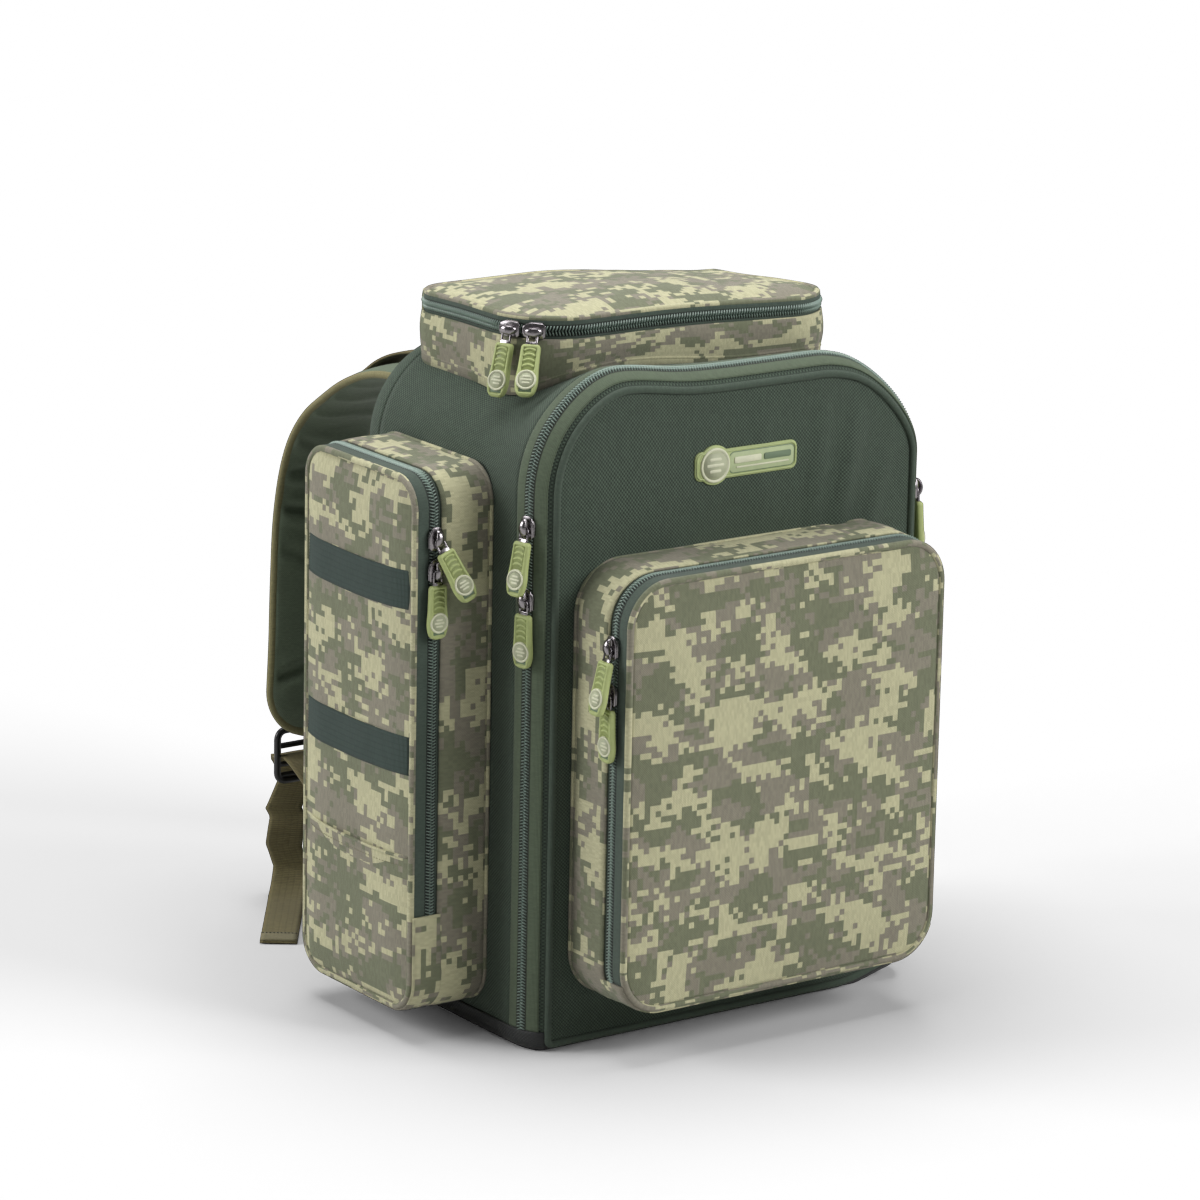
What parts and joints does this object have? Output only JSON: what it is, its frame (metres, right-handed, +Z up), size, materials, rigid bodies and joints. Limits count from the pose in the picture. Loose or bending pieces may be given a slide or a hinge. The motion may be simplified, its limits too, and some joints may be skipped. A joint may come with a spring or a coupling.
{
  "type": "tackle backpack",
  "caption": "Boxy tackle backpack with a zipped main flap carrying a front pocket, zipped side and lid pockets, and padded shoulder straps.",
  "frame": {"origin": "middle of the underside of the base, on the ground", "axes": "+X to the right as seen from the front, +Y towards the wearer's back, +Z up"},
  "size_m": [0.4357, 0.4873, 0.512],
  "materials": {
    "green_cloth": "coarse plain-weave polyester canvas, dark green",
    "black_cloth": "coated base cloth, black",
    "camo_cloth": "fine twill polyester with a digital camouflage print in khaki, green and grey-brown",
    "olive_webbing": "ribbed woven webbing, olive",
    "teal_webbing": "woven band, dark teal",
    "zip_tape": "woven zip tape with a coil chain, grey-green",
    "green_rubber": "soft moulded rubber, light green, matt",
    "gunmetal": "plated zinc alloy, dark grey",
    "black_plastic": "moulded acetal, black"
  },
  "bodies": {
    "bag": {"main_shell": "green_cloth", "base_panel": "black_cloth", "main_zip_shell_half": "zip_tape", "left_pocket_shell": "camo_cloth", "left_pocket_zip_shell_half": "zip_tape", "right_pocket_shell": "camo_cloth", "right_pocket_zip_shell_half": "zip_tape", "lid_shell": "camo_cloth", "lid_zip_shell_half": "zip_tape", "back_pad": "green_cloth", "left_strap_pad": "green_cloth", "left_load_lifter": "olive_webbing", "left_strap_webbing": "olive_webbing", "right_strap_pad": "green_cloth", "right_load_lifter": "olive_webbing", "right_strap_webbing": "olive_webbing"},
    "main_flap": {"main_flap": "green_cloth", "main_zip_flap_half": "zip_tape", "badge": "green_rubber", "front_pocket_shell": "camo_cloth", "front_pocket_zip_shell_half": "zip_tape"},
    "front_pocket_flap": {"front_pocket_flap": "camo_cloth", "front_pocket_zip_flap_half": "zip_tape"},
    "left_pocket_flap": {"left_pocket_flap": "camo_cloth", "left_pocket_zip_flap_half": "zip_tape", "left_upper_gear_loop": "teal_webbing", "left_lower_gear_loop": "teal_webbing", "left_slip_pocket": "camo_cloth"},
    "right_pocket_flap": {"right_pocket_flap": "camo_cloth", "right_pocket_zip_flap_half": "zip_tape", "right_upper_gear_loop": "teal_webbing", "right_lower_gear_loop": "teal_webbing", "right_slip_pocket": "camo_cloth"},
    "lid_flap": {"lid_flap": "camo_cloth", "lid_zip_flap_half": "zip_tape"},
    "grab_handle": {"grab_handle": "olive_webbing"},
    "left_ladder_lock": {"left_ladder_lock": "black_plastic"},
    "right_ladder_lock": {"right_ladder_lock": "black_plastic"},
    "main_left_upper_slider": {"main_left_upper_slider": "gunmetal"},
    "main_left_upper_pull": {"main_left_upper_pull": "green_rubber"},
    "main_left_lower_slider": {"main_left_lower_slider": "gunmetal"},
    "main_left_lower_pull": {"main_left_lower_pull": "green_rubber"},
    "main_right_slider": {"main_right_slider": "gunmetal"},
    "main_right_pull": {"main_right_pull": "green_rubber"},
    "front_pocket_upper_slider": {"front_pocket_upper_slider": "gunmetal"},
    "front_pocket_upper_pull": {"front_pocket_upper_pull": "green_rubber"},
    "front_pocket_lower_slider": {"front_pocket_lower_slider": "gunmetal"},
    "front_pocket_lower_pull": {"front_pocket_lower_pull": "green_rubber"},
    "left_pocket_upper_slider": {"left_pocket_upper_slider": "gunmetal"},
    "left_pocket_upper_pull": {"left_pocket_upper_pull": "green_rubber"},
    "left_pocket_lower_slider": {"left_pocket_lower_slider": "gunmetal"},
    "left_pocket_lower_pull": {"left_pocket_lower_pull": "green_rubber"},
    "right_pocket_upper_slider": {"right_pocket_upper_slider": "gunmetal"},
    "right_pocket_upper_pull": {"right_pocket_upper_pull": "green_rubber"},
    "right_pocket_lower_slider": {"right_pocket_lower_slider": "gunmetal"},
    "right_pocket_lower_pull": {"right_pocket_lower_pull": "green_rubber"},
    "lid_side_slider": {"lid_side_slider": "gunmetal"},
    "lid_side_pull": {"lid_side_pull": "green_rubber"},
    "lid_corner_slider": {"lid_corner_slider": "gunmetal"},
    "lid_corner_pull": {"lid_corner_pull": "green_rubber"}
  },
  "joints": [
    {"name": "main_flap_hinge", "type": "hinge", "parent": "bag", "child": "main_flap", "pos_m": [0, -0.115, 0.014], "axis": [1, 0, 0], "range_deg": [0, 100]},
    {"name": "front_pocket_flap_hinge", "type": "hinge", "parent": "main_flap", "child": "front_pocket_flap", "pos_m": [0, -0.1783, 0.058], "axis": [1, 0, 0], "range_deg": [0, 100]},
    {"name": "left_pocket_flap_hinge", "type": "hinge", "parent": "bag", "child": "left_pocket_flap", "pos_m": [-0.2323, 0.016, 0.091], "axis": [0, -1, 0], "range_deg": [0, 100]},
    {"name": "right_pocket_flap_hinge", "type": "hinge", "parent": "bag", "child": "right_pocket_flap", "pos_m": [0.1983, 0.016, 0.091], "axis": [0, 1, 0], "range_deg": [0, 100]},
    {"name": "lid_flap_hinge", "type": "hinge", "parent": "bag", "child": "lid_flap", "pos_m": [0, 0.092, 0.512], "axis": [-1, 0, 0], "range_deg": [0, 110]},
    {"name": "grab_handle_hinge", "type": "hinge", "parent": "bag", "child": "grab_handle", "pos_m": [0, 0.128, 0.436], "axis": [1, 0, 0], "range_deg": [0, 100]},
    {"name": "left_ladder_lock_tilt", "type": "hinge", "parent": "bag", "child": "left_ladder_lock", "pos_m": [-0.1138, 0.285, 0.134], "axis": [1, 0, 0], "range_deg": [-10, 4]},
    {"name": "right_ladder_lock_tilt", "type": "hinge", "parent": "bag", "child": "right_ladder_lock", "pos_m": [0.1138, 0.285, 0.134], "axis": [1, 0, 0], "range_deg": [-10, 4]},
    {"name": "main_left_upper_slide", "type": "slide", "parent": "main_flap", "child": "main_left_upper_slider", "axis": [0, 0, 1], "range_m": [0, 0.018]},
    {"name": "main_left_upper_pull_swing", "type": "hinge", "parent": "main_left_upper_slider", "child": "main_left_upper_pull", "pos_m": [-0.17213, -0.10042, 0.38], "axis": [-0.2463, 0.9692, 0], "range_deg": [0, 135]},
    {"name": "main_left_lower_slide", "type": "slide", "parent": "main_flap", "child": "main_left_lower_slider", "axis": [0, 0, 1], "range_m": [-0.285, 0]},
    {"name": "main_left_lower_pull_swing", "type": "hinge", "parent": "main_left_lower_slider", "child": "main_left_lower_pull", "pos_m": [-0.17213, -0.10042, 0.328], "axis": [-0.2463, 0.9692, 0], "range_deg": [0, 88]},
    {"name": "main_right_slide", "type": "slide", "parent": "main_flap", "child": "main_right_slider", "axis": [0, 0, 1], "range_m": [-0.32, 0.03]},
    {"name": "main_right_pull_swing", "type": "hinge", "parent": "main_right_slider", "child": "main_right_pull", "pos_m": [0.17213, -0.10042, 0.366], "axis": [-0.2463, -0.9692, 0], "range_deg": [0, 150]},
    {"name": "front_pocket_upper_slide", "type": "slide", "parent": "front_pocket_flap", "child": "front_pocket_upper_slider", "axis": [0, 0, 1], "range_m": [0, 0.011]},
    {"name": "front_pocket_upper_pull_swing", "type": "hinge", "parent": "front_pocket_upper_slider", "child": "front_pocket_upper_pull", "pos_m": [-0.14375, -0.1633, 0.305], "axis": [0, 1, 0], "range_deg": [0, 135]},
    {"name": "front_pocket_lower_slide", "type": "slide", "parent": "front_pocket_flap", "child": "front_pocket_lower_slider", "axis": [0, 0, 1], "range_m": [-0.18, 0]},
    {"name": "front_pocket_lower_pull_swing", "type": "hinge", "parent": "front_pocket_lower_slider", "child": "front_pocket_lower_pull", "pos_m": [-0.14375, -0.1633, 0.271], "axis": [0, 1, 0], "range_deg": [0, 12]},
    {"name": "left_pocket_upper_slide", "type": "slide", "parent": "left_pocket_flap", "child": "left_pocket_upper_slider", "axis": [0, 0, 1], "range_m": [0, 0.016]},
    {"name": "left_pocket_upper_pull_swing", "type": "hinge", "parent": "left_pocket_upper_slider", "child": "left_pocket_upper_pull", "pos_m": [-0.2173, -0.06075, 0.369], "axis": [-0.9287, 0, -0.3709], "range_deg": [0, 130]},
    {"name": "left_pocket_lower_slide", "type": "slide", "parent": "left_pocket_flap", "child": "left_pocket_lower_slider", "axis": [0, 0, 1], "range_m": [-0.235, 0]},
    {"name": "left_pocket_lower_pull_swing", "type": "hinge", "parent": "left_pocket_lower_slider", "child": "left_pocket_lower_pull", "pos_m": [-0.2173, -0.06075, 0.346], "axis": [-1, 0, 0], "range_deg": [0, 8]},
    {"name": "right_pocket_upper_slide", "type": "slide", "parent": "right_pocket_flap", "child": "right_pocket_upper_slider", "axis": [0, 0, 1], "range_m": [0, 0.016]},
    {"name": "right_pocket_upper_pull_swing", "type": "hinge", "parent": "right_pocket_upper_slider", "child": "right_pocket_upper_pull", "pos_m": [0.1863, -0.06075, 0.369], "axis": [-1, 0, 0], "range_deg": [0, 130]},
    {"name": "right_pocket_lower_slide", "type": "slide", "parent": "right_pocket_flap", "child": "right_pocket_lower_slider", "axis": [0, 0, 1], "range_m": [-0.235, 0]},
    {"name": "right_pocket_lower_pull_swing", "type": "hinge", "parent": "right_pocket_lower_slider", "child": "right_pocket_lower_pull", "pos_m": [0.1863, -0.06075, 0.346], "axis": [-1, 0, 0], "range_deg": [0, 8]},
    {"name": "lid_side_slider_turn", "type": "hinge", "parent": "lid_flap", "child": "lid_side_slider", "pos_m": [-0.088, -0.006, 0.503], "axis": [0, 0, 1], "range_deg": [-22, 0]},
    {"name": "lid_side_pull_swing", "type": "hinge", "parent": "lid_side_slider", "child": "lid_side_pull", "pos_m": [-0.13932, -0.02778, 0.503], "axis": [-0.3907, 0.9205, 0], "range_deg": [0, 135]},
    {"name": "lid_corner_slider_turn", "type": "hinge", "parent": "lid_flap", "child": "lid_corner_slider", "pos_m": [-0.088, -0.006, 0.503], "axis": [0, 0, 1], "range_deg": [0, 5]},
    {"name": "lid_corner_pull_swing", "type": "hinge", "parent": "lid_corner_slider", "child": "lid_corner_pull", "pos_m": [-0.12877, -0.04402, 0.503], "axis": [-0.682, 0.7314, 0], "range_deg": [0, 100]}
  ]
}
